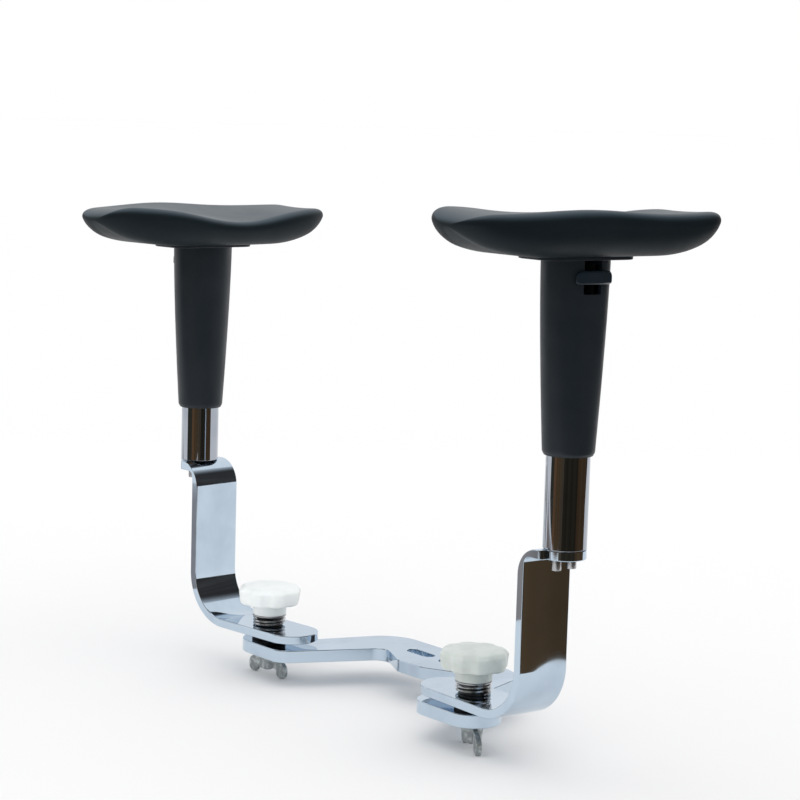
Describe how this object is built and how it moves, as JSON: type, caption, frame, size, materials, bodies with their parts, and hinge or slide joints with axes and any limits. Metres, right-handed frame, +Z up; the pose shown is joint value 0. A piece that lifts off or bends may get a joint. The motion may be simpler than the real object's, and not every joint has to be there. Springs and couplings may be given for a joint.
{
  "type": "armrest pair for a microscope chair",
  "caption": "Pair of height-adjustable armrests on chromed swing brackets and a slotted link plate, with sculpted pads, clamp knobs and wing nuts.",
  "frame": {"origin": "midway between the two bolt slots, on the underside of the link plate", "axes": "+X from the left arm to the right arm, +Y to the back of the chair, +Z up"},
  "size_m": [0.6253, 0.2736, 0.4688],
  "materials": {
    "chrome": "polished chrome plate on steel",
    "left_knob": "satin white moulding",
    "right_knob": "satin white moulding",
    "steel": "bright turned steel",
    "spring_wire": "drawn spring wire",
    "zinc": "dull zinc casting",
    "friction": "matt black friction disc",
    "dark_plastic": "satin moulded plastic with a fine grain",
    "bush_plastic": "black acetal",
    "pad": "soft skinned foam, fine grain"
  },
  "bodies": {
    "base": {"link_plate": "chrome", "left_friction_disc": "friction", "right_friction_disc": "friction"},
    "left_arm": {"left_bracket": "chrome", "left_post_tube": "chrome", "left_post_plug": "steel", "left_tab_bolt_front": "steel", "left_tab_bolt_rear": "steel", "left_clamp_spring": "spring_wire", "left_coil_bush": "bush_plastic"},
    "left_rest": {"left_sleeve": "dark_plastic", "left_guide_bush": "bush_plastic", "left_inner_stem": "bush_plastic", "left_brake_collet": "bush_plastic", "left_base_plate": "dark_plastic", "left_plate_screw_front": "steel", "left_plate_screw_rear": "steel", "left_pad": "pad", "left_trigger_spring": "spring_wire"},
    "left_release": {"left_trigger": "dark_plastic", "left_release_rod": "steel"},
    "left_clamp": {"left_clamp_washer": "steel"},
    "left_knob": {"left_knob": "left_knob", "left_stud": "steel"},
    "left_nut_seat": {"left_wing_washer": "zinc"},
    "left_nut": {"left_wing_nut": "zinc"},
    "right_arm": {"right_bracket": "chrome", "right_post_tube": "chrome", "right_post_plug": "steel", "right_tab_bolt_front": "steel", "right_tab_bolt_rear": "steel", "right_clamp_spring": "spring_wire", "right_coil_bush": "bush_plastic"},
    "right_rest": {"right_sleeve": "dark_plastic", "right_guide_bush": "bush_plastic", "right_inner_stem": "bush_plastic", "right_brake_collet": "bush_plastic", "right_base_plate": "dark_plastic", "right_plate_screw_front": "steel", "right_plate_screw_rear": "steel", "right_pad": "pad", "right_trigger_spring": "spring_wire"},
    "right_release": {"right_trigger": "dark_plastic", "right_release_rod": "steel"},
    "right_clamp": {"right_clamp_washer": "steel"},
    "right_knob": {"right_knob": "right_knob", "right_stud": "steel"},
    "right_nut_seat": {"right_wing_washer": "zinc"},
    "right_nut": {"right_wing_nut": "zinc"}
  },
  "joints": [
    {"name": "left_swing", "type": "hinge", "parent": "base", "child": "left_arm", "pos_m": [-0.149, -0.085, 0], "axis": [0, 0, 1], "range_deg": [-75, 75]},
    {"name": "left_height", "type": "slide", "parent": "left_arm", "child": "left_rest", "axis": [0, 0, 1], "range_m": [-0.036, 0.048]},
    {"name": "left_trigger_lift", "type": "slide", "parent": "left_rest", "child": "left_release", "axis": [0, 0, 1], "range_m": [0, 0.0035], "stiffness_N_per_m": 800, "springref_m": -0.004, "deforming": ["left_trigger_spring"]},
    {"name": "left_clamp_rise", "type": "slide", "parent": "left_arm", "child": "left_clamp", "axis": [0, 0, 1], "range_m": [-0.00075, 0.0045], "deforming": ["left_clamp_spring"]},
    {"name": "left_knob_turn", "type": "hinge", "parent": "left_clamp", "child": "left_knob", "pos_m": [-0.149, -0.085, 0], "axis": [0, 0, 1], "range_deg": [-180.5, 1080.5]},
    {"name": "left_nut_drop", "type": "slide", "parent": "base", "child": "left_nut_seat", "axis": [0, 0, 1], "range_m": [-0.003, 0]},
    {"name": "left_nut_turn", "type": "hinge", "parent": "left_nut_seat", "child": "left_nut", "pos_m": [-0.149, -0.085, 0], "axis": [0, 0, 1], "range_deg": [-720.5, 0.5]},
    {"name": "right_swing", "type": "hinge", "parent": "base", "child": "right_arm", "pos_m": [0.149, -0.085, 0], "axis": [0, 0, 1], "range_deg": [-75, 75]},
    {"name": "right_height", "type": "slide", "parent": "right_arm", "child": "right_rest", "axis": [0, 0, 1], "range_m": [-0.06, 0.024]},
    {"name": "right_trigger_lift", "type": "slide", "parent": "right_rest", "child": "right_release", "axis": [0, 0, 1], "range_m": [0, 0.0035], "stiffness_N_per_m": 800, "springref_m": -0.004, "deforming": ["right_trigger_spring"]},
    {"name": "right_clamp_rise", "type": "slide", "parent": "right_arm", "child": "right_clamp", "axis": [0, 0, 1], "range_m": [-0.0015, 0.003], "deforming": ["right_clamp_spring"]},
    {"name": "right_knob_turn", "type": "hinge", "parent": "right_clamp", "child": "right_knob", "pos_m": [0.149, -0.085, 0], "axis": [0, 0, 1], "range_deg": [-360.5, 720.5]},
    {"name": "right_nut_drop", "type": "slide", "parent": "base", "child": "right_nut_seat", "axis": [0, 0, 1], "range_m": [-0.003, 0]},
    {"name": "right_nut_turn", "type": "hinge", "parent": "right_nut_seat", "child": "right_nut", "pos_m": [0.149, -0.085, 0], "axis": [0, 0, 1], "range_deg": [-720.5, 0.5]}
  ],
  "couplings": [
    {"joint": "left_knob_turn", "follows": "left_clamp_rise", "rad_per_m": 4188.8},
    {"joint": "left_nut_turn", "follows": "left_nut_drop", "rad_per_m": 4188.8},
    {"joint": "right_knob_turn", "follows": "right_clamp_rise", "rad_per_m": 4188.8},
    {"joint": "right_nut_turn", "follows": "right_nut_drop", "rad_per_m": 4188.8}
  ]
}
